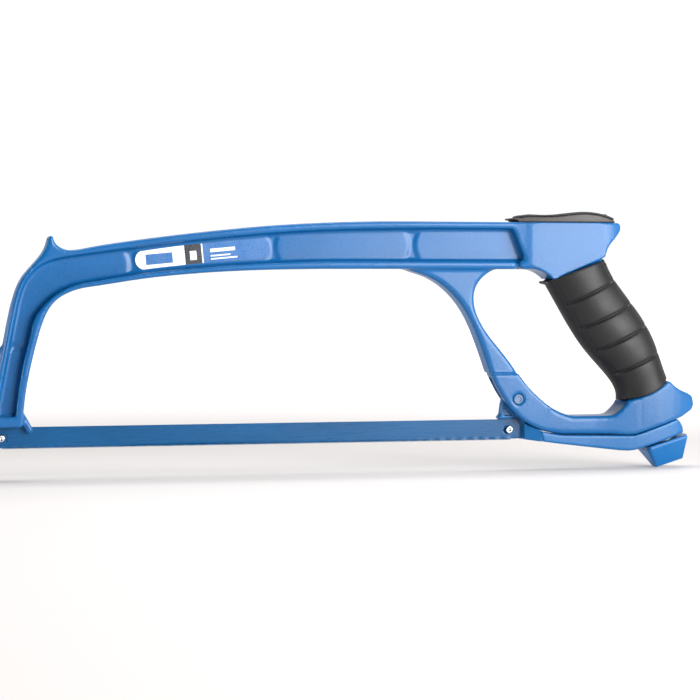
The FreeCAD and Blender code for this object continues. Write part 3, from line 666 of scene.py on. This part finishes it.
CAMERA_YAW = math.radians(13.5)
CAMERA_PITCH = math.radians(1.86)
CAMERA_DISTANCE = 1172.7
CAMERA_AIM = 202.4          # the camera looks past this X of the drawing
CAMERA_HEIGHT = 86.45
SENSOR = 36.0
FIELD_WIDTH = 410.4

camera_data = bpy.data.cameras.new("camera")
camera_data.sensor_width = SENSOR
camera_data.lens = SENSOR * CAMERA_DISTANCE / FIELD_WIDTH
camera = bpy.data.objects.new("camera", camera_data)
camera.location = place(CAMERA_AIM - CAMERA_DISTANCE * math.sin(CAMERA_YAW), CAMERA_HEIGHT,
                        -CAMERA_DISTANCE * math.cos(CAMERA_YAW))
camera.rotation_euler = (math.radians(90.0) - CAMERA_PITCH, 0.0, -CAMERA_YAW)
bpy.context.scene.collection.objects.link(camera)
bpy.context.scene.camera = camera


# ---- stage and light ----

FLOOR_HALF = 4.0


def area_light(name, position, target, size, power):
    data = bpy.data.lights.new(name, "AREA")
    data.shape = "RECTANGLE"
    data.size, data.size_y = size
    data.energy = power
    lamp = bpy.data.objects.new(name, data)
    lamp.location = position
    lamp.rotation_euler = (Vector(target) - Vector(position)).to_track_quat("-Z", "Y").to_euler()
    bpy.context.scene.collection.objects.link(lamp)


def make_floor():
    """Pale floor with painted light: its emission glows white far behind the saw, more in front of
    it than close behind it, and more on the right than on the left, painting a soft shadow close
    behind and to the left of the saw.
    """
    mesh = bpy.data.meshes.new("floor")
    corners = [(-FLOOR_HALF, -FLOOR_HALF, 0), (FLOOR_HALF, -FLOOR_HALF, 0),
               (FLOOR_HALF, FLOOR_HALF, 0), (-FLOOR_HALF, FLOOR_HALF, 0)]
    mesh.from_pydata(corners, [], [(0, 1, 2, 3)])
    floor = bpy.data.objects.new("floor", mesh)
    bpy.context.scene.collection.objects.link(floor)
    floor.location.z = cad_low.z
    look = Shader("pale_floor", (0.56, 0.535, 0.525), 0.7, specular=0.1)
    ground = look.node("ShaderNodeVectorMath", operation="LENGTH")
    look.link(look.place, ground.inputs[0])
    parts = look.node("ShaderNodeSeparateXYZ")
    look.link(look.place, parts.inputs[0])
    behind = look.range(parts.outputs["Y"], -0.02, 0.10, 0.0, 1.0)
    far = look.math("MULTIPLY", look.range(ground.outputs["Value"], 0.35, 1.1, 0.0, 0.9), behind)
    # Painted light and shade: more glow in front of the saw than close behind it, which paints the
    # shadow band behind the saw.
    near = look.range(parts.outputs["Y"], -0.13, 0.04, 0.30, 0.10)
    # Painted shade: less glow on the left than on the right, a painted shadow to the left of the
    # saw.
    side = look.range(parts.outputs["X"], -0.25, 0.25, 0.55, 1.15)
    painted_floor_light = look.math("ADD", far, look.math("MULTIPLY", near, side))
    look.link(painted_floor_light, look.shader.inputs["Emission Strength"])
    look.shader.inputs["Emission Color"].default_value = (1.0, 1.0, 1.0, 1.0)
    look.bump(look.noise(40.0, 2.0), 0.05, 0.2)
    mesh.materials.append(look.material)


def make_world():
    """White behind the saw, dimmer on the side of the viewer and to the far left."""
    world = bpy.data.worlds.new("studio")
    bpy.context.scene.world = world
    world.use_nodes = True
    tree = world.node_tree
    back = tree.nodes["Background"]
    coordinates = tree.nodes.new("ShaderNodeTexCoord")
    parts = tree.nodes.new("ShaderNodeSeparateXYZ")
    tree.links.new(coordinates.outputs["Generated"], parts.inputs[0])
    product = tree.nodes.new("ShaderNodeMath")
    product.operation = "MULTIPLY"
    for place_in, (axis, low, high, dim, full) in enumerate(
            (("Y", -0.2, 0.7, 0.06, 1.05), ("X", -0.16, 0.02, 0.25, 1.0))):
        ramp = tree.nodes.new("ShaderNodeMapRange")
        ramp.interpolation_type = "SMOOTHSTEP"
        for name, value in (("From Min", low), ("From Max", high), ("To Min", dim),
                            ("To Max", full)):
            ramp.inputs[name].default_value = value
        tree.links.new(parts.outputs[axis], ramp.inputs["Value"])
        tree.links.new(ramp.outputs["Result"], product.inputs[place_in])
    tree.links.new(product.outputs["Value"], back.inputs["Strength"])
    back.inputs["Color"].default_value = (1.0, 1.0, 1.0, 1.0)


make_floor()
make_world()
# name, position, target and size in metres of the row frame, power in watts
for light in (
        ("right_softbox", (1.02, -1.36, 0.50), (0.05, 0.0, 0.12), (1.4, 1.1), 60.0),
        ("floor_card", (0.95, -1.15, 0.012), (0.95, -1.15, 1.0), (1.3, 1.1), 44.0),
        ("left_softbox", (-1.35, 0.02, 0.15), (0.0, 0.0, 0.10), (0.8, 0.25), 13.0),
        ("top_softbox", (0.0, 0.05, 1.3), (0.0, 0.0, 0.0), (1.0, 0.5), 14.0)):
    area_light(*light)

bpy.context.scene.view_settings.view_transform = "Standard"
bpy.context.scene.view_settings.look = "None"
